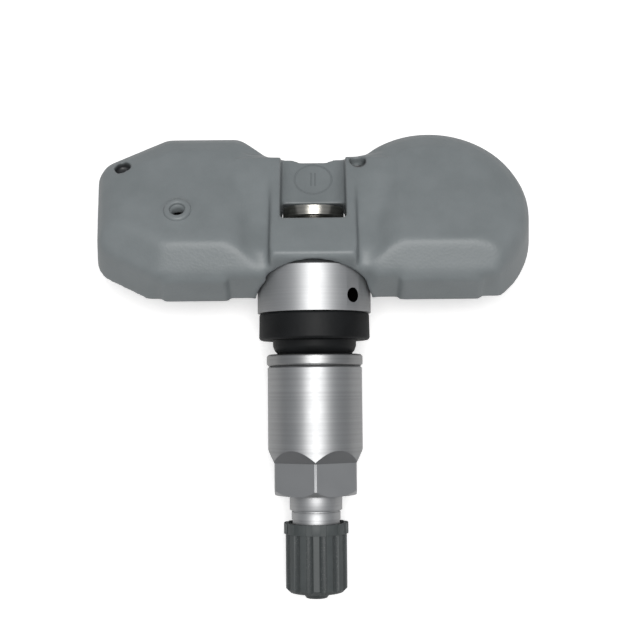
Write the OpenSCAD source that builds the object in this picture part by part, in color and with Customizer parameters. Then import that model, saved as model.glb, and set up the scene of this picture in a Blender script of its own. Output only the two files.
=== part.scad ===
// Tyre pressure sensor: a moulded transmitter housing hung on the domed head of a clamp-in valve.
// Origin: centre of the grommet flange's outer face, where the rim sits, on the valve's axis.
// X runs along the housing, Y along the valve towards the housing, Z up. Millimetres.

/* [Housing] */
// Length of the housing over its widest upper contour
housing_l = 64.2; // [62:0.1:68]
// Outward lean of the walls from that contour down to the underside
draft = 0.9; // [0.3:0.1:1.2]
// Angle by which the housing leans back from the valve's axis
lean = 30; // [26:1:32]
// Depth of the housing from its front wall to the back of the lobes
housing_d = 25.6; // [25:0.1:27]
// Distance of the housing's open underside from the pivot, measured across the slab
underside = 4.4; // [4.2:0.1:4.8]
// Thickness of the housing from underside to the flat top of the lobes
housing_t = 9.6; // [9.4:0.1:10.4]
// Height of the widest contour above the underside
belly_h = 6.4; // [5.6:0.1:6.8]
// Thickness of the moulded wall
wall = 1.4; // [1.1:0.1:1.5]
// Radius of the round battery lobe
round_lobe_r = 14.4; // [14.2:0.1:14.8]
// Half width of the raised bar over the valve head
bar_half_w = 6.4; // [6:0.1:7.4]
// Half width of the screw pocket
pocket_half_w = 4.85; // [4.7:0.05:5.2]
// Bore radius of the pressure port
port_r = 0.85; // [0.6:0.05:1]
// Outer radius of the raised ring round the pressure port
port_ring_r = 2; // [1.8:0.05:2.4]
// Radius of the two small round recesses
recess_r = 1.2; // [0.8:0.05:1.3]

/* [Valve] */
// Radius of the valve's head
head_r = 8.45; // [8.2:0.05:8.6]
// Radius of the dome on the head, centred on the pivot
dome_r = 13.7; // [13.5:0.05:14]
// Radius of the stem over its thread
stem_r = 3.92; // [3.7:0.01:4]
// Radius of the stem inside the grommet
shoulder_r = 4.1; // [4:0.05:4.2]
// Length of the stem from the pivot to its tip
stem_l = 34; // [33.5:0.1:34.4]
// Radius of the cross hole through the head
cross_hole_r = 1.05; // [0.9:0.05:1.2]
// Angle of the cross hole from the top
cross_hole_angle = 42; // [30:1:60]
// Radius of the air passage in the stem
passage_r = 1.25; // [1:0.05:1.4]

/* [Grommet, washer and nut] */
// Radius of the grommet's flange
flange_r = 8.25; // [8:0.05:8.4]
// Thickness of the grommet's flange
flange_t = 4.05; // [3.6:0.05:4.4]
// Largest radius of the grommet's sleeve
sleeve_r = 6.2; // [6:0.1:6.8]
// Length of the grommet's sleeve
sleeve_l = 2.1; // [1.8:0.05:2.4]
// Radius of the washer
washer_r = 7.15; // [6.9:0.05:7.4]
// Thickness of the washer
washer_t = 1.72; // [1.2:0.02:1.8]
// Radius of the nut's round part
nut_r = 7.03; // [6.8:0.01:7.2]
// Length of the nut
nut_l = 18.9; // [18.4:0.1:19.4]
// Width of the nut's hexagon across its flats
nut_flats = 12; // [11:0.1:12.4]
// Length of the nut's hexagon
nut_hex_l = 4.8; // [4:0.1:5.4]
// Length of the thread in the nut's outer end, beyond which its skirt is bored wider
nut_thread_l = 6.9; // [6:0.1:9]
// Bore radius of the nut's skirt
skirt_r = 5.1; // [4.9:0.1:5.6]

/* [Cap] */
// Radius of the cap's grip
cap_r = 4.55; // [4.5:0.05:4.7]
// Radius of the cap's flange
cap_flange_r = 4.78; // [4.72:0.02:5]
// Length of the cap without its nub
cap_l = 10.1; // [10:0.1:11.4]
// Number of grip grooves
cap_grooves = 14; // [8:1:16]
// Depth of the grip grooves
groove_depth = 0.3; // [0.1:0.05:0.35]

/* [Fixing screw] */
// Radius of the screw's head
screw_head_r = 4.55; // [4.3:0.05:4.6]
// Thickness of the screw head's edge
screw_edge_t = 1.5; // [1:0.1:1.6]
// Radius of the screw's shank
screw_r = 1.97; // [1.8:0.01:1.97]
// Depth of the screw's thread in the valve's head
screw_grip = 4.6; // [3.8:0.1:4.8]

/* [Electronics] */
// Thickness of the circuit board
board_t = 1; // [0.6:0.1:1.1]
// Depth of the potting that closes the underside
potting_t = 1.2; // [0.9:0.1:1.3]
// Room between the button battery and the wall of its lobe, where the contact strip bends down
tab_room = 1.45; // [1.2:0.05:2.4]
// Thickness of the button battery
battery_t = 3.2; // [2.4:0.1:3.2]

/* [Hidden] */
$fn = 96;
eps = 0.01;
fit = 0.05;
free = 0.25;

half_l = housing_l / 2;
front = 4.5;
back = front + housing_d;
belly = underside + belly_h;
top = underside + housing_t;
round_x = half_l - round_lobe_r;
round_u = back + 0.4 - round_lobe_r;
saddle_half_w = 9.4;
saddle_front = front + 0.75;
saddle_back = back - 2.6;
floor_w = underside + 4.05;
clamp_wall_r = 17.9;
seat_r = dome_r + 0.08;
notch_r = head_r + free;
slot_half_w = 2.25;
port_x = -half_l + 12.3;
port_u = front + 9.2;
room_x = saddle_half_w - 0.4;
battery_gap = 0.25;
battery_span = half_l - wall - room_x - battery_gap - tab_room;
battery_r = min(battery_span / 2, round_lobe_r - wall - tab_room);
chip_half = 2.6;
radio_end = -room_x - 1.4;
radio_l = min(5, radio_end - port_x - chip_half - 0.3);
capacitor_x = -half_l + 5.1;
capacitor_step = min(2.6, (-saddle_half_w - 2.6 - capacitor_x) / 5);
board_w = underside + potting_t;
board_top = board_w + board_t;
battery_x = half_l - wall - tab_room - battery_r;
battery_top = board_top + 0.5 + battery_t;
cavity_low = battery_top + 0.3;
cavity_top = top - wall - 0.2;
bridge_u0 = saddle_back - 5.5;
bridge_u1 = saddle_back - 1.3;

head_front = flange_t;
stem_tip = -stem_l;
screw_seat = clamp_wall_r + 0.3;
pocket_front = 17.62;
pocket_turn_z = 3.4;
screw_end = dome_r - screw_grip;
passage_end = 6.3;
neck_end = -25.9;
thread_core_r = stem_r - 0.5;
thread_gap = 0.48;
tip_core_r = stem_r - 0.62;
relief_r = 3.5;
core_r = 2.62;
core_top = stem_tip + 0.4;
barrel_r = 1.85;
barrel_end = stem_tip + 14;
nut_start = -sleeve_l - washer_t - 0.04;
nut_end = nut_start - nut_l;
cap_start = -26.9;
cap_end = cap_start - cap_l;

// Places a child drawn in the housing's own plane, where y runs to the back and z across the slab.
module leaned() {
    rotate([-lean, 0, 0]) children();
}

// A cylinder round the valve's axis between two Y positions.
module turned(r, y0, y1, r1 = undef) {
    translate([0, min(y0, y1), 0])
        rotate([-90, 0, 0])
            cylinder(h = abs(y1 - y0), r1 = r, r2 = is_undef(r1) ? r : r1);
}

// A ring round the valve's axis.
module ring(r_out, r_in, y0, y1) {
    difference() {
        turned(r_out, y0, y1);
        turned(r_in, min(y0, y1) - 1, max(y0, y1) + 1);
    }
}

// A thin slice of an outline, used to stack the lobes.
module slice(w) {
    translate([0, 0, w]) linear_extrude(height = eps) children();
}

// Outline of the round battery lobe, drawn in by the given inset.
module round_outline(inset, inner) {
    intersection() {
        union() {
            translate([round_x, round_u]) circle(r = round_lobe_r - inset, $fn = 64);
            translate([inner, round_u - 7]) square([round_x - inner, 14]);
        }
        translate([inner, front]) square([60, 60]);
    }
}

// Outline of the eight-sided electronics lobe, drawn in by the given inset.
module angled_outline(inset, inner) {
    intersection() {
        offset(r = 3.4 - min(inset, 3), $fn = 32)
            offset(delta = -3.4 - max(inset - 3, 0))
                polygon([
                    [-half_l + 0.4, front + 5.2], [-half_l - 0.6, back - 6], [-half_l + 9.6, back - 0.3],
                    [-saddle_half_w - 1.5, back - 0.3], [-3, back - 6.9], [-3, front - 7],
                    [-half_l + 20, front - 7], [-half_l + 9.4, front]
                ]);
        translate([-60 - inner, front]) square([60, 60]);
    }
}

// The round lobe: a drafted wall with a squarer front corner, and a rounded upper edge.
module round_lobe() {
    hull() {
        slice(underside) round_outline(-draft, 7);
        slice(underside)
            polygon([
                [round_x, front], [round_x + 7, front], [half_l - 2.6, front + 3.2],
                [half_l - 0.5, front + 6], [half_l + draft - 0.2, front + 9.4], [round_x, front + 12]
            ]);
        slice(belly) round_outline(0, 7);
        slice(top - 1.6) round_outline(0.9, 9.3);
        slice(top - 0.6) round_outline(2.4, 10.9);
        slice(top - eps) round_outline(4.6, 12.6);
    }
}

// The electronics lobe, built the same way.
module angled_lobe() {
    hull() {
        slice(underside) angled_outline(-draft, 7);
        slice(belly) angled_outline(0, 7);
        slice(top - 1.6) angled_outline(0.9, 9.3);
        slice(top - 0.6) angled_outline(2.3, 10.9);
        slice(top - eps) angled_outline(4.4, 12.6);
    }
}

// A block across the middle of the housing, with its profile drawn to the back and up.
module across(half_w) {
    rotate([90, 0, 90])
        translate([0, 0, -half_w])
            linear_extrude(height = 2 * half_w) children();
}

// The saddle between the lobes: lower towards the front, with a sloping back.
module saddle() {
    across(saddle_half_w)
        polygon([
            [saddle_front, underside], [saddle_back + 0.3, underside],
            [saddle_back, floor_w], [saddle_back - 2.2, top - 1.6],
            [front + 3.4, top - 1.6], [saddle_front, top - 3]
        ]);
    across(saddle_half_w + 2.2)
        polygon([
            [front + 2.5, underside], [saddle_back + 0.3, underside],
            [saddle_back, floor_w], [saddle_back - 3.1, top - 0.8],
            [saddle_back - 3.7, top], [saddle_back - 6.5, top],
            [front + 8, top - 1.5], [front + 2.5, top - 3.5]
        ]);
    for (side = [-1, 1])
        scale([side, 1, 1])
            hull() {
                slice(underside) shoulder_outline(0);
                slice(floor_w) shoulder_outline(0);
                slice(top - 1.3) shoulder_outline(3.7);
                slice(top - 0.4) shoulder_outline(4.6);
            }
    for (side = [-1, 1])
        scale([side, 1, 1])
            translate([0, 0, underside])
                linear_extrude(height = floor_w - underside)
                    polygon([
                        [2.3, saddle_back - 3], [2.3, saddle_back + 0.32], [3.6, saddle_back + 0.62],
                        [pocket_half_w + 0.2, saddle_back + 0.7], [pocket_half_w + 0.2, saddle_back - 3]
                    ]);
}

// Plan of the shoulder that leads from the middle of the housing's back edge out to a lobe.
module shoulder_outline(inset) {
    polygon([
        [pocket_half_w, bridge_u0 - 2], [pocket_half_w, saddle_back + 0.7 - inset],
        [saddle_half_w - 1, saddle_back + 1.5 - inset], [saddle_half_w + 1.2, saddle_back + 2.1 - inset],
        [saddle_half_w + 4, saddle_back + 2.1 - inset], [saddle_half_w + 4, bridge_u0 - 2]
    ]);
}

// The crisp bar over the valve's head, from its lip to the edge of the pocket.
module bar() {
    across(bar_half_w)
        polygon([
            [saddle_front, underside + 4], [saddle_front + 0.02, top - 1.15],
            [saddle_front + 1.65, top + 0.38], [front + 8, top + 0.25],
            [saddle_back - 4.2, top], [saddle_back - 4, underside + 4]
        ]);
}

// Foot panel that stands slightly proud of the front wall of each lobe.
module foot_panel(x0, x1) {
    outer = abs(x0) > abs(x1) ? x0 : x1;
    side = sign(outer);
    translate([0, front + 1.2, 0])
        rotate([90, 0, 0])
            linear_extrude(height = 1.7)
                union() {
                    translate([min(x0, x1), underside])
                        square([abs(x1 - x0), belly_h - 2.3]);
                    translate([min(x0, x1) + (side > 0 ? 0 : 1.5), underside])
                        square([abs(x1 - x0) - 1.5, belly_h - 0.8]);
                    translate([outer - side * 1.5, belly - 2.3]) circle(r = 1.5);
                }
}

// The room for the board, the battery and the chips, open at the underside.
module cavities() {
    translate([0, 0, underside - 1]) {
        linear_extrude(height = cavity_low - underside + 1) {
            right_room(0);
            left_room(front + wall);
        }
        linear_extrude(height = cavity_top - underside + 1) {
            intersection() {
                translate([round_x, round_u]) circle(r = round_lobe_r - wall - 0.9);
                translate([saddle_half_w + 1.6, front + 4.1]) square([60, 60]);
            }
            intersection() {
                left_room(front + 4.1);
                translate([-half_l + 7.6, front]) square([half_l - 7.6 - 11, back - 2.4 - front]);
            }
        }
        translate([-saddle_half_w, bridge_u0, 0])
            cube([2 * saddle_half_w, bridge_u1 - bridge_u0, floor_w - wall - underside + 1]);
    }
}

// Floor plan of the room in the battery lobe, drawn in by the given gap.
module right_room(gap) {
    intersection() {
        union() {
            translate([round_x, round_u]) circle(r = round_lobe_r - wall - gap);
            translate([room_x, round_u - 8 + gap]) square([round_x - room_x, 16 - 2 * gap]);
        }
        translate([room_x + (gap > 0 ? 0.2 : 0), front + wall + gap]) square([60, 60]);
    }
}

// Floor plan of the room in the electronics lobe.
module left_room(u0) {
    polygon([
        [-room_x, u0], [-half_l + 9.6, u0], [-half_l + wall, max(u0, front + 6.2)],
        [-half_l + wall, back - 6.9], [-half_l + 9.9, back - wall], [-room_x - 4.6, back - wall],
        [-room_x, back - 5.4]
    ]);
}

// The round notch and ball seat that take the valve's head, open below.
module head_notch() {
    intersection() {
        sphere(r = seat_r);
        union() {
            turned(notch_r, -5, dome_r + 5);
            translate([-notch_r, -5, -20]) cube([2 * notch_r, 30, 20]);
        }
    }
}

// The pocket for the screw's head, its clamping wall round the pivot, and the slot for the shank.
module screw_pocket() {
    leaned()
        difference() {
            translate([-pocket_half_w, 0, floor_w]) cube([2 * pocket_half_w, 40, 20]);
            rotate([0, 90, 0]) cylinder(h = 60, r = clamp_wall_r, center = true);
            rotate([lean, 0, 0])
                translate([-30, 0, pocket_turn_z]) cube([60, pocket_front, 30]);
        }
    intersection() {
        leaned() translate([-pocket_half_w, 0, -20]) cube([2 * pocket_half_w, 40, 20 + floor_w + 1]);
        difference() {
            rotate([0, 90, 0]) cylinder(h = 60, r = clamp_wall_r + 3.2, center = true);
            rotate([0, 90, 0]) cylinder(h = 61, r = clamp_wall_r, center = true);
        }
    }
    turned(slot_half_w, 0, clamp_wall_r + 1);
    translate([-slot_half_w, 0, -20]) cube([2 * slot_half_w, clamp_wall_r + 1, 20]);
}

// Bright sloping faces cut along the front of both lobes and the left lobe's slanting corner.
module front_facets() {
    for (side = [-1, 1])
        translate([side * (saddle_half_w + 8.2), front, belly - 0.2])
            rotate([43, 0, 0])
                translate([-10.4, -20, 0])
                    cube([20.8, 40, 20]);
    translate([-half_l + 4.9, front + 2.6, belly - 0.2])
        rotate([0, 0, -30])
            rotate([43, 0, 0])
                translate([-8, -20, 0])
                    cube([14, 40, 20]);
}

// Moulded housing with its ball seat, pocket, port ring and open rooms.
module housing() {
    color("slategray")
        difference() {
            leaned()
                difference() {
                    union() {
                        round_lobe();
                        angled_lobe();
                        saddle();
                        bar();
                        foot_panel(-half_l + 9.9, -saddle_half_w - 3.2);
                        foot_panel(saddle_half_w + 3.2, half_l - 7.5);
                        translate([port_x, port_u, top - 1]) cylinder(h = 1.55, r = port_ring_r);
                    }
                    front_facets();
                    cavities();
                    translate([port_x, port_u, 0]) cylinder(h = 30, r = port_r);
                    translate([port_x, port_u, top - 0.05]) cylinder(h = 2, r = port_ring_r - 0.75);
                    translate([-half_l + 3.5, back - 7.5, top - 1.9]) cylinder(h = 5, r = recess_r);
                    translate([saddle_half_w - 2.7, saddle_back - 4.2, top - 2.6])
                        cylinder(h = 5, r = recess_r);
                }
            head_notch();
            screw_pocket();
        }
}

// Potting resin that closes the underside and carries the board.
module potting() {
    color("dimgray")
        leaned()
            intersection() {
                cavities();
                translate([-60, -10, underside]) cube([120, 60, potting_t]);
            }
}

// Board that fills the floor of both rooms and crosses behind the screw pocket.
module circuit_board() {
    color("darkgreen")
        leaned()
            translate([0, 0, board_w]) {
                difference() {
                    linear_extrude(height = board_t) {
                        right_room(0.3);
                        offset(delta = -0.3) left_room(front + wall);
                        translate([-room_x - 0.4, bridge_u0 + 0.3])
                            square([2 * room_x + 1.6, bridge_u1 - bridge_u0 - 0.6]);
                    }
                    for (x = [-half_l + 4.1, -saddle_half_w - 2.6, round_x + 6.3])
                        translate([x, front + (x < -20 ? 7.5 : 3.3), -1]) cylinder(h = 4, r = 0.6);
                }
            }
}

// Button battery lying over the board in the round lobe.
module battery() {
    color("silver")
        leaned()
            translate([battery_x, round_u, board_top + 0.5]) {
                cylinder(h = battery_t - 0.5, r = battery_r - 0.6);
                translate([0, 0, 0.7]) cylinder(h = battery_t - 0.7, r = battery_r);
            }
}

// Contact strip over the battery, welded to its case and bent down to the board.
module battery_plus_tab() {
    leg = battery_x + battery_r + 0.2;
    color("gainsboro")
        leaned() {
            translate([battery_x - 2, round_u - 2, battery_top]) cube([battery_r + 2.4, 4, 0.2]);
            translate([leg, round_u - 2, board_top]) cube([0.2, 4, battery_top - board_top + 0.2]);
            translate([leg, round_u - 2, board_top]) cube([0.7, 4, 0.2]);
        }
}

// Contact strip under the battery, standing on the board on two feet.
module battery_minus_tab() {
    color("gainsboro")
        leaned() {
            translate([battery_x - 3, round_u - 2, board_top + 0.3]) cube([6, 4, 0.2]);
            translate([battery_x - 3, round_u - 2, board_top]) cube([1, 4, 0.3]);
            translate([battery_x + 2, round_u - 2, board_top]) cube([1, 4, 0.3]);
        }
}

// Pressure sensor chip under the port, with its open cup.
module pressure_chip() {
    color("black")
        leaned()
            translate([port_x, port_u, board_top])
                difference() {
                    translate([-chip_half, -chip_half, 0]) cube([2 * chip_half, 2 * chip_half, 2.2]);
                    translate([0, 0, 1.2]) cylinder(h = 2, r = 1.5);
                }
}

// Soft ring between the pressure chip and the roof of the housing.
module port_seal() {
    color("darkorange")
        leaned()
            translate([port_x, port_u, board_top + 2.2])
                difference() {
                    cylinder(h = cavity_top - board_top - 2.2, r = 2.5);
                    translate([0, 0, -1]) cylinder(h = 20, r = 1.5);
                }
}

// Radio chip on the board.
module radio_chip() {
    color("black")
        leaned() translate([radio_end - radio_l, front + 4.9, board_top]) cube([radio_l, 5, 1]);
}

// Quartz crystal in its metal can.
module crystal() {
    color("silver")
        leaned() translate([-room_x - 6.4, front + 11.9, board_top]) cube([3.2, 2.5, 0.8]);
}

// Low-frequency wake-up coil: a ferrite drum between two end plates.
module wake_up_coil() {
    color("saddlebrown")
        leaned()
            translate([-half_l + 5.9, front + 3.9, board_top]) {
                cube([1, 2.6, 2.6]);
                translate([6.4, 0, 0]) cube([1, 2.6, 2.6]);
                translate([0, 1.3, 1.3]) rotate([0, 90, 0]) cylinder(h = 7.4, r = 1);
            }
}

// Row of small capacitors soldered beside the chips.
module chip_capacitors() {
    color("tan")
        leaned()
            for (i = [0 : 5])
                translate([capacitor_x + capacitor_step * i, back - 8.5, board_top]) cube([1.6, 0.8, 0.8]);
}

// Washer between the clamping wall and the screw's head, hollowed to follow the wall.
module clamp_washer() {
    color("silver")
        difference() {
            turned(3, clamp_wall_r + 0.05 - 0.3, screw_seat - 0.02);
            rotate([0, 90, 0])
                cylinder(h = 20, r = clamp_wall_r + 0.05, center = true, $fn = 360);
            turned(screw_r + 0.1, 0, 30);
        }
}

// Screw that clamps the housing to the valve: a domed head with a six-lobed socket.
module fixing_screw() {
    color("silver")
        difference() {
            union() {
                turned(screw_r, screw_end + 0.3, screw_seat + 0.5);
                turned(screw_head_r - 0.2, screw_seat, screw_seat + 0.2, screw_head_r);
                turned(screw_head_r, screw_seat + 0.2, screw_seat + screw_edge_t);
                translate([0, screw_seat + screw_edge_t, 0])
                    rotate([-90, 0, 0])
                        intersection() {
                            cylinder(h = 2, r = screw_head_r);
                            translate([0, 0, -16.9]) sphere(r = 17.55);
                        }
            }
            translate([0, screw_seat + 0.2, 0])
                rotate([-90, 0, 0])
                    linear_extrude(height = 3) {
                        circle(r = 1.45);
                        for (i = [0 : 5])
                            rotate([0, 0, 60 * i]) translate([1.45, 0]) circle(r = 0.42, $fn = 24);
                    }
        }
}

// Turned valve body: domed head, shoulder, stem at its threads' core, core chamber and air passage.
module valve_body() {
    color("lightgray")
        difference() {
            union() {
                intersection() {
                    turned(head_r, head_front, dome_r + 1);
                    sphere(r = dome_r);
                }
                turned(shoulder_r, -3, head_front);
                turned(thread_core_r, neck_end, -3);
                turned(thread_core_r - 0.2, neck_end - 0.4, neck_end);
                turned(relief_r, cap_start - 0.7, neck_end - 0.4);
                turned(tip_core_r, stem_tip + 0.5, cap_start - 0.7);
                turned(tip_core_r - 0.3, stem_tip, stem_tip + 0.5, tip_core_r);
            }
            turned(screw_r + fit, screw_end, dome_r + 1);
            turned(passage_r, stem_tip, passage_end);
            turned(core_r + 0.03, stem_tip - 1, core_top + 4.4);
            turned(core_r + 0.03, core_top + 4.4, core_top + 6.8, 2.1);
            turned(2.1, core_top + 6.8, barrel_end + 3.2);
            turned(2.1, barrel_end + 3.2, barrel_end + 4, passage_r);
            translate([0, passage_end, 0])
                rotate([0, cross_hole_angle, 0])
                    cylinder(h = 20, r = cross_hole_r);
        }
}

// Rubber grommet: a thick flange inside the rim and a bulged sleeve through its hole.
module grommet() {
    color("dimgray")
        rotate([-90, 0, 0])
            rotate_extrude()
                polygon([
                    [shoulder_r + 0.02, -sleeve_l], [sleeve_r - 0.75, -sleeve_l],
                    [sleeve_r - 0.25, -sleeve_l * 0.72], [sleeve_r, -sleeve_l * 0.4],
                    [sleeve_r, 0], [flange_r - 0.3, 0], [flange_r, 0.3],
                    [flange_r - 0.05, flange_t - 0.3], [flange_r - 0.3, flange_t],
                    [shoulder_r + 0.02, flange_t]
                ]);
}

// Washer between the grommet's sleeve and the nut.
module rim_washer() {
    color("gainsboro")
        difference() {
            union() {
                turned(washer_r - 0.2, -sleeve_l - 0.2, -sleeve_l, washer_r - 0.2);
                turned(washer_r, -sleeve_l - washer_t + 0.2, -sleeve_l - 0.2);
                turned(washer_r - 0.2, -sleeve_l - washer_t, -sleeve_l - washer_t + 0.2);
            }
            turned(shoulder_r + 0.1, -10, 5);
        }
}

// A hexagon round the valve's axis with a corner on top, from one half width to another.
module hexagon(half0, half1, y0, y1) {
    translate([0, y0, 0])
        rotate([-90, 0, 0])
            rotate([0, 0, 30])
                cylinder(h = y1 - y0, r1 = half0 / cos(30), r2 = half1 / cos(30), $fn = 6);
}

// Union nut: a long round skirt that runs into a hexagon over six sloping faces.
module union_nut() {
    half = nut_flats / 2;
    hex_start = nut_end + nut_hex_l;
    color("silver")
        difference() {
            union() {
                intersection() {
                    turned(nut_r, hex_start, nut_start - 0.25);
                    hexagon(half, half + 12, hex_start, hex_start + 22);
                }
                turned(nut_r, nut_start - 0.25, nut_start, nut_r - 0.25);
                intersection() {
                    hexagon(half, half, nut_end, hex_start + 0.05);
                    turned(half + 0.1, nut_end, hex_start + 0.05, half + 4.75);
                    turned(half + 0.83, nut_end, hex_start + 0.05);
                }
            }
            turned(stem_r + thread_gap, nut_end - 1, nut_start + 1);
            turned(skirt_r, nut_end + nut_thread_l, nut_start + 1);
        }
}

// Threaded plug that holds the valve core, with a bridge hole for the pin.
module core_plug() {
    color("goldenrod")
        difference() {
            turned(core_r, core_top, core_top + 4);
            turned(1.1, core_top - 1, core_top + 5);
            for (side = [-1, 1])
                translate([side * 2.1 - 0.5, core_top - 1, -0.9]) cube([1, 2.2, 1.8]);
        }
}

// Tube of the valve core that holds the spring and ends in the seat.
module core_barrel() {
    color("goldenrod")
        difference() {
            turned(barrel_r, core_top + 4, barrel_end);
            turned(1.4, core_top + 3, barrel_end - 0.9);
            turned(0.85, barrel_end - 2, barrel_end + 1);
        }
}

// Conical gasket that seals the core in the stem.
module core_gasket() {
    color("firebrick")
        difference() {
            turned(2.5, core_top + 4.6, core_top + 6.6, 2.05);
            turned(barrel_r + 0.02, core_top, core_top + 9);
        }
}

// Pin that opens the core when it is pressed in, with the collar that the spring lifts.
module core_pin() {
    color("goldenrod")
        union() {
            turned(0.6, stem_tip + 0.3, barrel_end + 1.6);
            turned(1.2, core_top + 4.2, core_top + 4.9);
            turned(0.9, stem_tip + 0.3, stem_tip + 0.7);
        }
}

// Return spring inside the barrel, drawn as the sleeve of its windings.
module core_spring() {
    y0 = core_top + 4.95;
    y1 = barrel_end - 1.75;
    turns = 7;
    color("lightsteelblue")
        for (i = [0 : turns - 1])
            translate([0, y0 + 0.2 + i * (y1 - y0 - 0.4) / (turns - 1), 0])
                rotate([-90, 0, 0])
                    rotate_extrude() translate([1.08, 0]) circle(r = 0.16, $fn = 16);
}

// Rubber cup on the pin that closes the barrel's end.
module core_seat_seal() {
    color("black")
        ring(1.6, 0.62, barrel_end + 0.02, barrel_end + 1.3);
}

// Screw cap with a ribbed grip, a stepped flange and a nub at its end.
module cap() {
    color("darkslategray")
        difference() {
            union() {
                turned(cap_flange_r, cap_start - 1.53, cap_start);
                turned(cap_r, cap_end + 0.6, cap_start - 1);
                turned(cap_r - 0.6, cap_end, cap_end + 0.6, cap_r);
                turned(1.55, cap_end - 0.9, cap_end, 2.2);
            }
            turned(stem_r + 0.18, cap_start - 0.75, cap_start + 1);
            turned(stem_r - 0.1 + fit, stem_tip - 1.1, cap_start + 1);
            for (i = [0 : cap_grooves - 1])
                rotate([0, 360 * (i + 0.5) / cap_grooves, 0])
                    translate([0, cap_end - 1, cap_r + 0.5])
                        rotate([-90, 0, 0])
                            cylinder(h = cap_l - 0.6, r = 0.5 + groove_depth, $fn = 24);
            for (i = [0 : cap_grooves - 1])
                rotate([0, 360 * (i + 0.5) / cap_grooves, 0])
                    translate([-0.45, cap_start - 2, cap_flange_r - 0.22])
                        cube([0.9, 3, 1]);
        }
}

// Rubber disc that seals the cap on the stem's tip.
module cap_seal() {
    color("black")
        ring(stem_r - 0.25, 1.3, stem_tip - 1.05, stem_tip - 0.02);
}

housing();
potting();
circuit_board();
battery();
battery_plus_tab();
battery_minus_tab();
pressure_chip();
port_seal();
radio_chip();
crystal();
wake_up_coil();
chip_capacitors();
clamp_washer();
fixing_screw();
valve_body();
grommet();
rim_washer();
union_nut();
core_plug();
core_barrel();
core_gasket();
core_pin();
core_spring();
core_seat_seal();
cap();
cap_seal();
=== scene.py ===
import math

import bpy
from mathutils import Matrix, Vector


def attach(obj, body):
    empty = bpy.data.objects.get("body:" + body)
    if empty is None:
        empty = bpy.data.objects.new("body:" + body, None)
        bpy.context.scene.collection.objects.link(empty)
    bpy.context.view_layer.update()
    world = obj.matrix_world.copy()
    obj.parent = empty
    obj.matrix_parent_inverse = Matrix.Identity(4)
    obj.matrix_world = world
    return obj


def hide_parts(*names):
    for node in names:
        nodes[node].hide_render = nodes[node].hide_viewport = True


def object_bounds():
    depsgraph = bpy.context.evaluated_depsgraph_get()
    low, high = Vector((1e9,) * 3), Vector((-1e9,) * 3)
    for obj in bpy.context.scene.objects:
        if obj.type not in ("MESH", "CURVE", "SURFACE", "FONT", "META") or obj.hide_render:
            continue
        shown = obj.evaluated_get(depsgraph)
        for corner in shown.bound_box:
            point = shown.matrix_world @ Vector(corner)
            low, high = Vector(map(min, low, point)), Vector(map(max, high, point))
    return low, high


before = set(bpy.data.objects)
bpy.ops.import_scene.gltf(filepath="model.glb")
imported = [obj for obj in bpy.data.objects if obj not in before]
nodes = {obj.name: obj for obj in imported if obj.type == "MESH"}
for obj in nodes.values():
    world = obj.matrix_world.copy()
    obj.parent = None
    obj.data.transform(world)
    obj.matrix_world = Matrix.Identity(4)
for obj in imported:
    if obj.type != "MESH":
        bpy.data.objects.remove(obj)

cad_low, cad_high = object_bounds()


# The photographer's table: a camera looking down on the sensor, a broad soft lamp over it and a
# pale sheet under it. The sheet follows the slope on which the sensor rests, from the outer end of
# the union nut's hexagon to the housing's back edge.
def node_of(tree, kind, inputs=None, **settings):
    made = tree.nodes.new(kind)
    for name, value in settings.items():
        setattr(made, name, value)
    for label, value in (inputs or {}).items():
        made.inputs[label].default_value = value
    return made


def set_ramp(ramp, low, high, start=0.0, end=1.0):
    for stop, colour, place in zip(ramp.color_ramp.elements, (low, high), (start, end)):
        stop.position = place
        stop.color = (*colour, 1)


photo_px = 640
focal_px = 1190
camera_data = bpy.data.cameras.new("photo_camera")
camera_data.sensor_width = 36
camera_data.lens = 36 * focal_px / photo_px
camera_data.clip_start = 0.01
camera = bpy.data.objects.new("photo_camera", camera_data)
camera.location = (0.00075, -0.00724, 0.1776)
camera.rotation_euler = (math.radians(3.32), 0, math.radians(-0.55))
bpy.context.scene.collection.objects.link(camera)
bpy.context.scene.camera = camera
bpy.context.scene.view_settings.view_transform = "Standard"

lamp_place = Vector((0.015, 0.03, 0.5))
lamp_aim = Vector((0, 0.01, 0))
lamp_data = bpy.data.lights.new("overhead_lamp", "AREA")
lamp_data.shape = "SQUARE"
lamp_data.size = 0.3
lamp_data.energy = 2.05
lamp_data.color = (1, 0.99, 0.98)
lamp = bpy.data.objects.new("overhead_lamp", lamp_data)
lamp.location = lamp_place
lamp.rotation_euler = (lamp_aim - lamp_place).to_track_quat("-Z", "Y").to_euler()
bpy.context.scene.collection.objects.link(lamp)

room_light = (0.93, 0.96, 1)
room_dusk = (0.26, 0.27, 0.28)
world = bpy.data.worlds.new("studio")
world.use_nodes = True
bpy.context.scene.world = world
world_tree = world.node_tree
world_tree.nodes.clear()
ray = node_of(world_tree, "ShaderNodeLightPath")
air = node_of(world_tree, "ShaderNodeBackground", {"Color": (*room_light, 1), "Strength": 0.12})
mirrored = node_of(world_tree, "ShaderNodeBackground", {"Strength": 0.42})
backdrop = node_of(world_tree, "ShaderNodeBackground", {"Color": (1, 1, 1, 1)})
heading = node_of(world_tree, "ShaderNodeTexCoord")
up_and_back = node_of(world_tree, "ShaderNodeVectorMath", {1: (0, 0.55, 1)}, operation="DOT_PRODUCT")
falloff = node_of(world_tree, "ShaderNodeMapRange", {"From Min": -0.3, "From Max": 0.35})
horizon = node_of(world_tree, "ShaderNodeValToRGB")
set_ramp(horizon, room_dusk, room_light)
by_ray = node_of(world_tree, "ShaderNodeMixShader")
choose = node_of(world_tree, "ShaderNodeMixShader")
sky = node_of(world_tree, "ShaderNodeOutputWorld")
world_tree.links.new(heading.outputs["Generated"], up_and_back.inputs[0])
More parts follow.
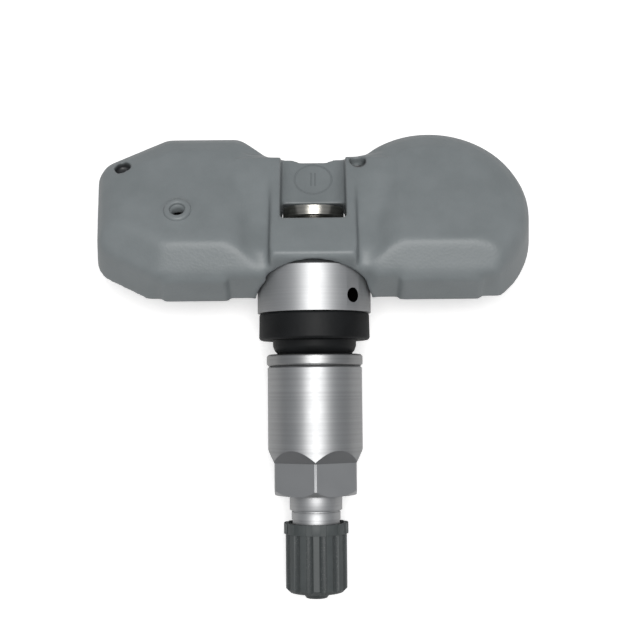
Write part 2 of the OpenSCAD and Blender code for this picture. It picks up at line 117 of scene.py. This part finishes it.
world_tree.links.new(up_and_back.outputs["Value"], falloff.inputs["Value"])
world_tree.links.new(falloff.outputs["Result"], horizon.inputs["Fac"])
world_tree.links.new(horizon.outputs["Color"], mirrored.inputs["Color"])
world_tree.links.new(ray.outputs["Is Glossy Ray"], by_ray.inputs[0])
world_tree.links.new(air.outputs[0], by_ray.inputs[1])
world_tree.links.new(mirrored.outputs[0], by_ray.inputs[2])
world_tree.links.new(ray.outputs["Is Camera Ray"], choose.inputs[0])
world_tree.links.new(by_ray.outputs[0], choose.inputs[1])
world_tree.links.new(backdrop.outputs[0], choose.inputs[2])
world_tree.links.new(choose.outputs[0], sky.inputs[0])

rest_nut = Vector((0, -0.0225, -0.00683))
rest_edge = Vector((0, cad_high.y - 0.001, cad_low.z - 0.0001))
under_nut = rest_nut - Vector((0, 0, 0.0001))
slope = math.atan2(rest_edge.z - rest_nut.z, rest_edge.y - rest_nut.y)
bpy.ops.object.select_all(action="DESELECT")
bpy.ops.mesh.primitive_plane_add(size=3, location=(0, 0, 0))
sheet = bpy.context.object
sheet.name = "pale_sheet"
sheet.data.transform(Matrix.Translation(under_nut) @ Matrix.Rotation(slope, 4, "X"))
paper = bpy.data.materials.new("paper_sheet")
paper.use_nodes = True
paper_tree = paper.node_tree
paper_tree.nodes.clear()
speck_place = node_of(paper_tree, "ShaderNodeTexCoord")
speck = node_of(paper_tree, "ShaderNodeTexNoise", {"Scale": 900})
speck_ramp = node_of(paper_tree, "ShaderNodeValToRGB")
set_ramp(speck_ramp, (0.86, 0.86, 0.86), (0.92, 0.92, 0.92), 0.25, 0.42)
matt = node_of(paper_tree, "ShaderNodeBsdfDiffuse")
glow = node_of(paper_tree, "ShaderNodeEmission", {"Strength": 0.5})
unlit = node_of(paper_tree, "ShaderNodeEmission", {"Strength": 0})
seen = node_of(paper_tree, "ShaderNodeLightPath")
lit = node_of(paper_tree, "ShaderNodeMixShader")
both = node_of(paper_tree, "ShaderNodeAddShader")
paper_out = node_of(paper_tree, "ShaderNodeOutputMaterial")
paper_tree.links.new(speck_place.outputs["Object"], speck.inputs["Vector"])
paper_tree.links.new(speck.outputs["Fac"], speck_ramp.inputs["Fac"])
paper_tree.links.new(speck_ramp.outputs["Color"], matt.inputs["Color"])
paper_tree.links.new(seen.outputs["Is Camera Ray"], lit.inputs[0])
paper_tree.links.new(unlit.outputs[0], lit.inputs[1])
paper_tree.links.new(glow.outputs[0], lit.inputs[2])
paper_tree.links.new(matt.outputs[0], both.inputs[0])
paper_tree.links.new(lit.outputs[0], both.inputs[1])
paper_tree.links.new(both.outputs[0], paper_out.inputs[0])
sheet.data.materials.append(paper)


# Sensor housing: one grey glass-filled plastic moulding with a satin grained skin. The tool's
# corners are all rounded, so the merged CAD shape is skinned afresh and eased, most on the flanks
# of the two lobes and least round the ball notch, the port and the screw pocket. Millimetres: x
# along the housing, u from its front to its back, t up through it, as the moulding lies flat. A
# pair of numbers is the stretch over which the easing grows or fades.
lean = math.radians(30)
skin_size = 0.28
notch_edge = (8.9, 9.6)
notch_end = 11.6
pocket_edge = (5.0, 5.6)
pocket_front = 11
port_x, port_u = -19.8, 13.7
port_edge = (1.2, 1.6)
flank_x = 9.2
flank_fade = (1.6, 3.4)
flank_back = (19, 24)
flank_foot = (9.5, 11.2)
brow_start = (10.5, 12.5)
brow_back = (12, 15)
brow_foot = (9.4, 10.4)
bar_edge = (6.2, 6.8)
lip_reach = (4.9, 7)
lip_foot = 12
lip_u = 5.27
chamfer_foot = 12.85
chamfer_rise = 0.9387
lip_side = 13.6
lip_side_rise = 1.32
lip_top = 14.3
lip_top_rise = 0.07
lip_top_u = 0.53
pocket_hold = 0.8
port_hold = 0.9
smoothing = (
    ("ease", "eased", 9), ("flow", "flanks", 60), ("brow", "brows", 50), ("settle", "eased", 3)
)

moulding = bpy.data.objects.new("moulded_housing", nodes["housing"].data.copy())
moulding.data.materials.clear()
bpy.context.scene.collection.objects.link(moulding)
bpy.ops.object.select_all(action="DESELECT")
moulding.select_set(True)
bpy.context.view_layer.objects.active = moulding
bpy.ops.object.mode_set(mode="EDIT")
bpy.ops.mesh.select_all(action="SELECT")
bpy.ops.mesh.remove_doubles(threshold=0.000002)
bpy.ops.mesh.normals_make_consistent(inside=False)
bpy.ops.object.mode_set(mode="OBJECT")
moulding.data.transform(Matrix.Rotation(lean, 4, "X"))
skin = moulding.modifiers.new("skin", "REMESH")
skin.mode = "VOXEL"
skin.voxel_size = skin_size / 1000
bpy.ops.object.modifier_apply(modifier="skin")


def step_down(value, start, end):
    t = min(max((value - start) / (end - start), 0), 1)
    return 1 - t * t * (3 - 2 * t)


def lip_height(u):
    past = max(u - lip_u, 0)
    chamfer = chamfer_foot + chamfer_rise * past
    fuller = min(lip_side + lip_side_rise * past, lip_top + lip_top_rise * (past - lip_top_u))
    return chamfer, fuller


eased = moulding.vertex_groups.new(name="eased")
flanks = moulding.vertex_groups.new(name="flanks")
brows = moulding.vertex_groups.new(name="brows")
for v in moulding.data.vertices:
    x, u, t = abs(v.co.x) * 1000, v.co.y * 1000, v.co.z * 1000
    along_valve = u * math.cos(lean) + t * math.sin(lean)
    over_valve = -u * math.sin(lean) + t * math.cos(lean)
    notch = step_down(math.hypot(x, over_valve), *notch_edge) if along_valve < notch_end else 0
    pocket = step_down(x, *pocket_edge) if u > pocket_front else 0
    port = step_down(math.hypot(v.co.x * 1000 - port_x, u - port_u), *port_edge)
    keep = max(notch, pocket * pocket_hold, port * port_hold)
    eased.add([v.index], 1 - keep, "REPLACE")
    flank = step_down(abs(x - flank_x), *flank_fade) * step_down(u, *flank_back)
    flanks.add([v.index], flank * (1 - step_down(t, *flank_foot)) * (1 - notch), "REPLACE")
    brow = (1 - step_down(x, *brow_start)) * step_down(u, *brow_back)
    brows.add([v.index], brow * (1 - step_down(t, *brow_foot)), "REPLACE")
for v in moulding.data.vertices:
    x, u, t = abs(v.co.x) * 1000, v.co.y * 1000, v.co.z * 1000
    if lip_reach[0] < u < lip_reach[1] and t > lip_foot:
        chamfer, fuller = lip_height(u)
        share = min((t - lip_foot) / (chamfer - lip_foot), 1) * step_down(x, *bar_edge)
        v.co.z += max(fuller - chamfer, 0) * share / 1000
for name, group, times in smoothing:
    step = moulding.modifiers.new(name, "SMOOTH")
    step.factor = 0.5
    step.iterations = times
    step.vertex_group = group
    bpy.ops.object.modifier_apply(modifier=name)
for name in ("eased", "flanks", "brows"):
    moulding.vertex_groups.remove(moulding.vertex_groups[name])


def turn_up(name, profile, steps, foot, axis):
    """Turns a closed profile of (radius, height) in mm about an axis, by extruding a circle."""
    start_r, start_h = profile[0]
    tilt = Vector((0, 0, 1)).rotation_difference(axis).to_euler()
    bpy.ops.object.select_all(action="DESELECT")
    bpy.ops.mesh.primitive_circle_add(
        vertices=steps, radius=start_r / 1000, location=foot + axis * start_h / 1000, rotation=tilt
    )
    piece = bpy.context.object
    piece.name = name
    bpy.ops.object.transform_apply(location=True, rotation=True, scale=True)
    bpy.ops.object.mode_set(mode="EDIT")
    bpy.ops.mesh.select_all(action="SELECT")
    for (last_r, last_h), (r, h) in zip(profile, profile[1:]):
        rise = axis * (h - last_h) / 1000
        bpy.ops.mesh.extrude_region_move(TRANSFORM_OT_translate={"value": rise})
        bpy.ops.transform.resize(value=(r / last_r,) * 3, center_override=foot + axis * h / 1000)
    bpy.ops.mesh.select_all(action="DESELECT")
    bpy.ops.mesh.select_non_manifold()
    bpy.ops.mesh.bridge_edge_loops()
    bpy.ops.mesh.select_all(action="SELECT")
    bpy.ops.mesh.normals_make_consistent(inside=False)
    bpy.ops.object.mode_set(mode="OBJECT")
    return piece


rim_profile = (
    (1.1, 13.2), (1.1, 14.4), (1.16, 14.56), (1.3, 14.64), (1.66, 14.64), (1.9, 14.54), (2.04, 14.3),
    (2.12, 13.7), (2.16, 13.2)
)
port_foot = Vector((port_x / 1000, port_u / 1000, 0))
turn_up("port_rim", rim_profile, 64, port_foot, Vector((0, 0, 1)))
moulding.select_set(True)
bpy.context.view_layer.objects.active = moulding
bpy.ops.object.join()
moulding.data.transform(Matrix.Rotation(-lean, 4, "X"))
bpy.ops.object.shade_smooth()


def new_group(name, ins, outs):
    tree = bpy.data.node_groups.new(name, "ShaderNodeTree")
    tree.interface.new_socket(name="Vector", in_out="INPUT", socket_type="NodeSocketVector")
    for label, start in ins.items():
        socket = tree.interface.new_socket(name=label, in_out="INPUT", socket_type="NodeSocketFloat")
        socket.default_value = start
    for label in outs:
        tree.interface.new_socket(name=label, in_out="OUTPUT", socket_type="NodeSocketFloat")
    return tree, tree.nodes.new("NodeGroupInput").outputs, tree.nodes.new("NodeGroupOutput").inputs


def calc(tree, operation, *values):
    step = node_of(tree, "ShaderNodeMath", operation=operation)
    for i, value in enumerate(values):
        if isinstance(value, (int, float)):
            step.inputs[i].default_value = value
        else:
            tree.links.new(value, step.inputs[i])
    return step.outputs[0]


def split_vector(tree, vector):
    apart = node_of(tree, "ShaderNodeSeparateXYZ")
    tree.links.new(vector, apart.inputs[0])
    return [apart.outputs[k] for k in "XYZ"]


def reach_of(tree, a, b):
    squares = calc(tree, "ADD", calc(tree, "MULTIPLY", a, a), calc(tree, "MULTIPLY", b, b))
    return calc(tree, "SQRT", squares)


def turned_axes(tree, a, b, angle):
    a_cos = calc(tree, "MULTIPLY", a, math.cos(angle))
    b_sin = calc(tree, "MULTIPLY", b, math.sin(angle))
    a_sin = calc(tree, "MULTIPLY", a, math.sin(angle))
    b_cos = calc(tree, "MULTIPLY", b, math.cos(angle))
    return calc(tree, "SUBTRACT", a_cos, b_sin), calc(tree, "ADD", a_sin, b_cos)


grain_group, grain_in, grain_out = new_group("moulded_grain", {"Size": 2600.0}, ("Height", "Tone"))
pits = node_of(grain_group, "ShaderNodeTexVoronoi", feature="F1")
fine = node_of(grain_group, "ShaderNodeTexNoise", {"Detail": 3})
clouds = node_of(grain_group, "ShaderNodeTexNoise", {"Scale": 240, "Detail": 5})
for texture in (pits, fine, clouds):
    grain_group.links.new(grain_in["Vector"], texture.inputs["Vector"])
for texture in (pits, fine):
    grain_group.links.new(grain_in["Size"], texture.inputs["Scale"])
pitted = calc(grain_group, "ADD", pits.outputs["Distance"], fine.outputs["Fac"])
grain_group.links.new(pitted, grain_out["Height"])
grain_group.links.new(clouds.outputs["Fac"], grain_out["Tone"])

# The moulding mark on the pocket's floor: a thin circle round two short strokes.
mark_u = 0.0241
mark_r = 0.00285
line_half = 0.00015
stroke_x = 0.0003
stroke_half = 0.00013
stroke_l = 0.0013
floor_top = 0.0092
mark_group, mark_in, mark_out = new_group("pocket_floor_mark", {}, ("Groove",))
mark_x, y, z = split_vector(mark_group, mark_in["Vector"])
u, t = turned_axes(mark_group, y, z, lean)
off_u = calc(mark_group, "SUBTRACT", u, mark_u)
circle = calc(mark_group, "COMPARE", reach_of(mark_group, mark_x, off_u), mark_r, line_half)
stroke = calc(mark_group, "COMPARE", calc(mark_group, "ABSOLUTE", mark_x), stroke_x, stroke_half)
short = calc(mark_group, "LESS_THAN", calc(mark_group, "ABSOLUTE", off_u), stroke_l)
drawn = calc(mark_group, "MAXIMUM", circle, calc(mark_group, "MULTIPLY", stroke, short))
on_floor = calc(mark_group, "LESS_THAN", t, floor_top)
mark_group.links.new(calc(mark_group, "MULTIPLY", drawn, on_floor), mark_out["Groove"])

# The shade in the two small round recesses.
recess_spots = ((-0.0286, 0.0226), (0.0068, 0.023))
recess_core = 0.00105
recess_group, recess_in, recess_out = new_group("round_recesses", {"Radius": 0.0012}, ("Mask",))
recess_x, y, z = split_vector(recess_group, recess_in["Vector"])
u, t = turned_axes(recess_group, y, z, lean)
away = [
    reach_of(
        recess_group,
        calc(recess_group, "SUBTRACT", recess_x, spot_x),
        calc(recess_group, "SUBTRACT", u, spot_u),
    )
    for spot_x, spot_u in recess_spots
]
inside = node_of(recess_group, "ShaderNodeMapRange", interpolation_type="SMOOTHSTEP")
inside.inputs["From Min"].default_value = recess_core
inside.inputs["To Min"].default_value = 1
inside.inputs["To Max"].default_value = 0
recess_group.links.new(calc(recess_group, "MINIMUM", *away), inside.inputs["Value"])
recess_group.links.new(recess_in["Radius"], inside.inputs["From Max"])
recess_group.links.new(inside.outputs["Result"], recess_out["Mask"])


def place_group(tree, group, **values):
    box = node_of(tree, "ShaderNodeGroup", node_tree=group)
    where = node_of(tree, "ShaderNodeTexCoord")
    tree.links.new(where.outputs["Object"], box.inputs["Vector"])
    for label, value in values.items():
        box.inputs[label].default_value = value
    return box.outputs


def new_finish(name, metallic=0.0):
    made = bpy.data.materials.new(name)
    made.use_nodes = True
    surface = made.node_tree.nodes["Principled BSDF"]
    surface.inputs["Metallic"].default_value = metallic
    return made, made.node_tree, surface


def two_tones(tree, mask, low, high, surface):
    ramp = node_of(tree, "ShaderNodeValToRGB")
    set_ramp(ramp, low, high, 0.3, 0.7)
    tree.links.new(mask, ramp.inputs["Fac"])
    tree.links.new(ramp.outputs["Color"], surface.inputs["Base Color"])


def vary_roughness(tree, mask, low, high, surface):
    between = node_of(tree, "ShaderNodeMapRange", {"To Min": low, "To Max": high})
    tree.links.new(mask, between.inputs["Value"])
    tree.links.new(between.outputs["Result"], surface.inputs["Roughness"])


def relief(tree, height, distance, strength, surface, under=None):
    bump = node_of(tree, "ShaderNodeBump", {"Distance": distance, "Strength": strength})
    tree.links.new(height, bump.inputs["Height"])
    if under is not None:
        tree.links.new(under, bump.inputs["Normal"])
    tree.links.new(bump.outputs["Normal"], surface.inputs["Normal"])
    return bump.outputs["Normal"]


def shade_in(tree, mask, colour, surface):
    base = surface.inputs["Base Color"]
    shade = node_of(tree, "ShaderNodeMix", data_type="RGBA")
    tree.links.new(mask, shade.inputs["Factor"])
    tree.links.new(base.links[0].from_socket, shade.inputs[6])
    shade.inputs[7].default_value = (*colour, 1)
    tree.links.new(shade.outputs[2], base)


grey_plastic, plastic_tree, grey = new_finish("grey_moulded_plastic")
skin_grain = place_group(plastic_tree, grain_group, Size=2600.0)
two_tones(plastic_tree, skin_grain["Tone"], (0.212, 0.236, 0.244), (0.242, 0.267, 0.277), grey)
vary_roughness(plastic_tree, skin_grain["Tone"], 0.38, 0.5, grey)
floor_mark = place_group(plastic_tree, mark_group)["Groove"]
engraved = relief(plastic_tree, calc(plastic_tree, "MULTIPLY", floor_mark, -1.0), 0.0005, 1.0, grey)
relief(plastic_tree, skin_grain["Height"], 0.00004, 0.35, grey, engraved)
recess_shade = place_group(plastic_tree, recess_group, Radius=0.00138)["Mask"]
shade_in(plastic_tree, recess_shade, (0.02, 0.022, 0.024), grey)
shade_in(plastic_tree, floor_mark, (0.19, 0.212, 0.22), grey)
moulding.data.materials.append(grey_plastic)
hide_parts("housing")
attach(moulding, "sensor")


# Valve body: a bar of aluminium turned to a domed head and a threaded stem, then anodised. The
# lathe leaves fine lines round its sides, and a hole is drilled across the head.
def dress(node, material, bevel=0.0001, corner=32):
    piece = nodes[node]
    piece.data.materials.clear()
    piece.data.materials.append(material)
    weld = piece.modifiers.new("joined", "WELD")
    weld.merge_threshold = 0.000002
    if bevel:
        edge = piece.modifiers.new("broken_edges", "BEVEL")
        edge.width = bevel
        edge.segments = 2
        edge.limit_method = "ANGLE"
        edge.angle_limit = math.radians(corner)
        even = piece.modifiers.new("flat_faces", "WEIGHTED_NORMAL")
        even.mode = "FACE_AREA_WITH_ANGLE"
        even.weight = 50
    for face in piece.data.polygons:
        face.use_smooth = True


lathe_group, lathe_in, lathe_out = new_group(
    "lathe_lines", {"Spacing": 9000.0}, ("Height", "Tone", "Scuff")
)
lathe_x, lathe_y, lathe_z = split_vector(lathe_group, lathe_in["Vector"])
rings = node_of(lathe_group, "ShaderNodeCombineXYZ")
cut = node_of(lathe_group, "ShaderNodeTexNoise", {"Detail": 6, "Roughness": 0.7})
bands = node_of(lathe_group, "ShaderNodeTexNoise", {"Scale": 3200, "Detail": 7, "Roughness": 0.7})
scuffs = node_of(lathe_group, "ShaderNodeTexNoise", {"Scale": 420, "Detail": 6})
lathe_group.links.new(reach_of(lathe_group, lathe_x, lathe_z), rings.inputs["X"])
lathe_group.links.new(lathe_y, rings.inputs["Y"])
lathe_group.links.new(rings.outputs[0], cut.inputs["Vector"])
lathe_group.links.new(lathe_in["Spacing"], cut.inputs["Scale"])
lathe_group.links.new(rings.outputs[0], bands.inputs["Vector"])
lathe_group.links.new(lathe_in["Vector"], scuffs.inputs["Vector"])
lathe_group.links.new(cut.outputs["Fac"], lathe_out["Height"])
lathe_group.links.new(bands.outputs["Fac"], lathe_out["Tone"])
lathe_group.links.new(scuffs.outputs["Fac"], lathe_out["Scuff"])


def turned_metal(name, dark, light, smooth, rough, depth, spacing=9000.0):
    made, tree, surface = new_finish(name, 1.0)
    lines = place_group(tree, lathe_group, Spacing=spacing)
    two_tones(tree, lines["Tone"], dark, light, surface)
    vary_roughness(tree, lines["Scuff"], smooth, rough, surface)
    relief(tree, lines["Height"], depth, 0.5, surface)
    return made, tree, surface


hole_tilt = math.radians(42)
hole_y = 0.0063
hole_group, hole_in, hole_out = new_group("drilled_hole_shade", {"Radius": 0.00105}, ("Mask",))
x, y, z = split_vector(hole_group, hole_in["Vector"])
across_hole, up_hole = turned_axes(hole_group, x, z, hole_tilt)
beside_hole = calc(hole_group, "SUBTRACT", y, hole_y)
in_hole = calc(hole_group, "LESS_THAN", reach_of(hole_group, across_hole, beside_hole), hole_in["Radius"])
on_top = calc(hole_group, "GREATER_THAN", up_hole, 0.0)
hole_group.links.new(calc(hole_group, "MULTIPLY", in_hole, on_top), hole_out["Mask"])

aluminium, aluminium_tree, bare_metal = turned_metal(
    "anodised_aluminium", (0.4, 0.405, 0.41), (0.48, 0.485, 0.49), 0.46, 0.56, 0.00001, 5000.0
)
# Painted shade: the upper side of the hole drilled across the head is painted near black, for the shade
# inside it.
hole_shade_mask = place_group(aluminium_tree, hole_group, Radius=0.00107)["Mask"]
shade_in(aluminium_tree, hole_shade_mask, (0.012, 0.012, 0.012), bare_metal)
dress("valve_body", aluminium, 0.00012)


# Stem threads: rolled into the same bar, one under the nut and a shorter one under the cap. Each is
# a ridge that climbs right-handed round the core of the stem. Millimetres.
pitch = 0.794
foot_share = 0.9
root_share = 0.82
crest_share = 0.14
foot_depth = 0.1


def rolled_thread(name, core, crest, start, turns):
    middle = Vector((core - foot_depth / 2, start + foot_share * pitch / 2, 0)) / 1000
    bpy.ops.object.select_all(action="DESELECT")
    bpy.ops.mesh.primitive_plane_add(size=0.001, location=middle)
    ridge = bpy.context.object
    ridge.name = name
    bpy.ops.object.transform_apply(location=True, rotation=True, scale=True)
    bpy.ops.object.mode_set(mode="EDIT")
    bpy.ops.mesh.select_all(action="SELECT")
    bpy.ops.transform.resize(value=(foot_depth, foot_share * pitch, 1), center_override=middle)
    bpy.ops.object.mode_set(mode="OBJECT")
    for part in (*ridge.data.polygons, *ridge.data.edges):
        part.select = False
    for corner in ridge.data.vertices:
        corner.select = corner.co.x > middle.x
    bpy.ops.object.mode_set(mode="EDIT")
    bpy.ops.transform.resize(value=(1, root_share / foot_share, 1), center_override=middle)
    bpy.ops.mesh.extrude_region_move(TRANSFORM_OT_translate={"value": ((crest - core) / 1000, 0, 0)})
    bpy.ops.transform.resize(value=(1, crest_share / root_share, 1), center_override=middle)
    bpy.ops.mesh.select_all(action="SELECT")
    bpy.ops.mesh.dissolve_faces()
    bpy.ops.mesh.delete(type="ONLY_FACE")
    bpy.ops.object.mode_set(mode="OBJECT")
    climb = ridge.modifiers.new("climb", "SCREW")
    climb.axis = "Y"
    climb.screw_offset = pitch / 1000
    climb.iterations = turns
    climb.steps = 40
    climb.render_steps = 40
    climb.use_smooth_shade = False
    bpy.ops.object.modifier_apply(modifier="climb")
    bpy.ops.object.mode_set(mode="EDIT")
    bpy.ops.mesh.select_all(action="SELECT")
    bpy.ops.mesh.fill_holes(sides=6)
    bpy.ops.mesh.select_all(action="SELECT")
    bpy.ops.mesh.normals_make_consistent(inside=False)
    bpy.ops.object.mode_set(mode="OBJECT")
    ridge.data.materials.append(aluminium)
    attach(ridge, "valve")


rolled_thread("stem_thread", 3.42, 3.92, -22.2, 18)
rolled_thread("cap_thread", 3.3, 3.82, -33.4, 7)

# Stem land: the plain turned stretch between the two threads, with a narrow groove and the relief
# in which the cap's thread begins. It is part of the same bar.
land_profile = (
    (3.3, -22.3), (3.88, -22.3), (3.9, -22.35), (3.9, -24.92), (3.86, -25.0), (3.74, -25.06),
    (3.46, -25.08), (3.46, -25.26), (3.58, -25.28), (3.62, -25.34), (3.62, -26.4), (3.3, -26.4)
)
land = turn_up("stem_land", land_profile, 96, Vector((0, 0, 0)), Vector((0, 1, 0)))
bpy.ops.object.shade_smooth_by_angle(angle=math.radians(35))
land.data.materials.append(aluminium)
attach(land, "valve")


# Grommet: moulded black rubber, a thick flange and a short bulged sleeve, pushed over the stem and
# squeezed against the rim.
def grained(name, dark, light, rough, size, depth=0.0, strength=0.3):
    made, tree, surface = new_finish(name)
    grain = place_group(tree, grain_group, Size=size)
    two_tones(tree, grain["Tone"], dark, light, surface)
    if isinstance(rough, tuple):
        vary_roughness(tree, grain["Tone"], *rough, surface)
    else:
        surface.inputs["Roughness"].default_value = rough
    if depth:
        relief(tree, grain["Height"], depth, strength, surface)
    return made, tree, surface


rubber, _, rubber_surface = grained(
    "grommet_rubber", (0.005, 0.0055, 0.006), (0.011, 0.012, 0.013), (0.45, 0.65), 1500.0, 0.00003
)
rubber_surface.inputs["Specular IOR Level"].default_value = 0.2
dress("grommet", rubber, 0.00015)

# Rim washer: stamped aluminium, loose between the grommet's sleeve and the nut. It spreads the nut's
# pull over the rim.
washer_metal, _, _ = turned_metal(
    "stamped_washer", (0.28, 0.28, 0.28), (0.37, 0.375, 0.375), 0.36, 0.48, 0.00001, 4000.0
)
dress("rim_washer", washer_metal, 0.00012)

# Union nut: turned and milled aluminium, anodised, screwed along the stem against the washer. The
# cutter leaves the hexagon duller than the turned skirt, and its sloping faces get painted shade.
slope_start = -0.018
slope_end = -0.0093
skirt_r = 0.00699
nut_bore_r = 0.0055
milled_group, milled_in, milled_out = new_group(
    "milled_hexagon_and_slope_shade", {"Start": slope_start}, ("Slope", "Flat")
)
x, y, z = split_vector(milled_group, milled_in["Vector"])
nut_reach = reach_of(milled_group, x, z)
past_start = calc(milled_group, "GREATER_THAN", y, milled_in["Start"])
within = calc(milled_group, "LESS_THAN", y, slope_end)
sloping = calc(milled_group, "MULTIPLY", calc(milled_group, "LESS_THAN", nut_reach, skirt_r), past_start)
outside = calc(milled_group, "GREATER_THAN", nut_reach, nut_bore_r)
before_start = calc(milled_group, "SUBTRACT", 1.0, past_start)
milled_group.links.new(calc(milled_group, "MULTIPLY", sloping, within), milled_out["Slope"])
milled_group.links.new(calc(milled_group, "MULTIPLY", before_start, outside), milled_out["Flat"])

nut_metal, nut_tree, nut_surface = turned_metal(
    "nut_aluminium", (0.33, 0.334, 0.338), (0.42, 0.425, 0.43), 0.42, 0.52, 0.000012, 5200.0
)
milled = place_group(nut_tree, milled_group, Start=slope_start)
shade_in(nut_tree, milled["Flat"], (0.385, 0.39, 0.395), nut_surface)
# Painted shade: the hexagon's sloping faces are painted darker, for the dimmer light they reflect.
shade_in(nut_tree, milled["Slope"], (0.27, 0.273, 0.278), nut_surface)
lathe_height = nut_surface.inputs["Normal"].links[0].from_node.inputs["Height"]
on_skirt = calc(nut_tree, "SUBTRACT", 1.0, milled["Flat"])
nut_tree.links.new(calc(nut_tree, "MULTIPLY", lathe_height.links[0].from_socket, on_skirt), lathe_height)
dress("union_nut", nut_metal, 0.0001, 14)

# Fixing screw and its washer: nickel-plated steel, the washer between the screw's head and the
# curved wall of the housing.
plated, _, _ = turned_metal(
    "nickel_plate", (0.22, 0.212, 0.19), (0.42, 0.41, 0.38), 0.24, 0.36, 0.000006, 7000.0
)
dress("fixing_screw", plated, 0.0001)
dress("clamp_washer", plated, 0.00004)

# Screw cap: ribbed plastic, moulded in dark grey and a little shiny with handling. The grooves
# between the ribs are darker than the ribs and keep a dusty, speckled skin.
rib_r = 0.00446
grip_group, grip_in, grip_out = new_group("grip_grooves", {"Rib Radius": rib_r}, ("Groove", "Speck"))
x, y, z = split_vector(grip_group, grip_in["Vector"])
in_groove = calc(grip_group, "LESS_THAN", reach_of(grip_group, x, z), grip_in["Rib Radius"])
dust = node_of(grip_group, "ShaderNodeTexNoise", {"Scale": 6500, "Detail": 2})
grip_group.links.new(grip_in["Vector"], dust.inputs["Vector"])
dusty = calc(grip_group, "GREATER_THAN", dust.outputs["Fac"], 0.62)
grip_group.links.new(in_groove, grip_out["Groove"])
grip_group.links.new(calc(grip_group, "MULTIPLY", in_groove, dusty), grip_out["Speck"])

cap_plastic, cap_tree, cap_surface = grained(
    "cap_plastic", (0.058, 0.067, 0.068), (0.078, 0.088, 0.089), (0.46, 0.62), 2000.0, 0.00003, 0.25
)
grip = place_group(cap_tree, grip_group)
shade_in(cap_tree, grip["Groove"], (0.046, 0.053, 0.054), cap_surface)
shade_in(cap_tree, grip["Speck"], (0.1, 0.11, 0.11), cap_surface)
dress("cap", cap_plastic, 0.00008)

# Valve core: brass plug, barrel and pin turned from bar, a spring of steel wire, and a red gasket
# pressed into the stem.
brass, _, _ = turned_metal("core_brass", (0.5, 0.36, 0.14), (0.62, 0.46, 0.2), 0.25, 0.4, 0.000006)
wire, _, _ = turned_metal("spring_wire", (0.4, 0.41, 0.42), (0.55, 0.56, 0.57), 0.25, 0.38, 0.000004)
gasket, _, _ = grained("gasket_red", (0.23, 0.02, 0.013), (0.31, 0.03, 0.02), 0.5, 1800.0)
for name in ("core_plug", "core_barrel", "core_pin"):
    dress(name, brass, 0.00004)
dress("core_spring", wire, 0)
dress("core_gasket", gasket, 0.00004)

# Small seals: soft black rubber, moulded as rings, in the core's seat, the cap and the port.
soft_black, _, _ = grained("seal_rubber", (0.01, 0.01, 0.011), (0.02, 0.02, 0.021), 0.6, 1800.0, 0.00002)
for name in ("core_seat_seal", "cap_seal", "port_seal"):
    dress(name, soft_black, 0.00004)

# Cast resin: poured black into the housing's underside, where it levels itself and sets a little
# uneven.
resin, resin_tree, cast = grained(
    "cast_resin", (0.02, 0.022, 0.024), (0.034, 0.036, 0.038), (0.22, 0.5), 500.0
)
waves = place_group(resin_tree, grain_group, Size=500.0)["Tone"]
relief(resin_tree, waves, 0.0002, 0.4, cast)
dress("potting", resin, 0)

# Electronics: a green board with its battery in a steel can, nickel strips and chips, all soldered
# or welded and then sealed in.
board_green, _, _ = grained("solder_mask", (0.012, 0.085, 0.038), (0.018, 0.12, 0.055), 0.35, 900.0)
can, _, _ = turned_metal("battery_can", (0.5, 0.5, 0.5), (0.66, 0.66, 0.66), 0.25, 0.4, 0.000004, 3000.0)
nickel, _, _ = turned_metal(
    "nickel_strip", (0.46, 0.45, 0.42), (0.6, 0.59, 0.56), 0.25, 0.4, 0.000004, 3000.0
)
package, _, _ = grained(
    "chip_package", (0.008, 0.008, 0.009), (0.015, 0.015, 0.016), 0.5, 5000.0, 0.00001
)
ferrite, _, _ = grained("ferrite_brown", (0.05, 0.025, 0.016), (0.1, 0.05, 0.03), 0.5, 2500.0)
fired, _, _ = grained("capacitor_body", (0.36, 0.25, 0.13), (0.48, 0.35, 0.19), 0.5, 4000.0)
dress("circuit_board", board_green, 0.00005)
dress("battery", can, 0.0001)
for name in ("battery_plus_tab", "battery_minus_tab", "crystal"):
    dress(name, nickel, 0.00004)
for name in ("pressure_chip", "radio_chip"):
    dress(name, package, 0.00005)
dress("wake_up_coil", ferrite, 0.00005)
dress("chip_capacitors", fired, 0.00003)
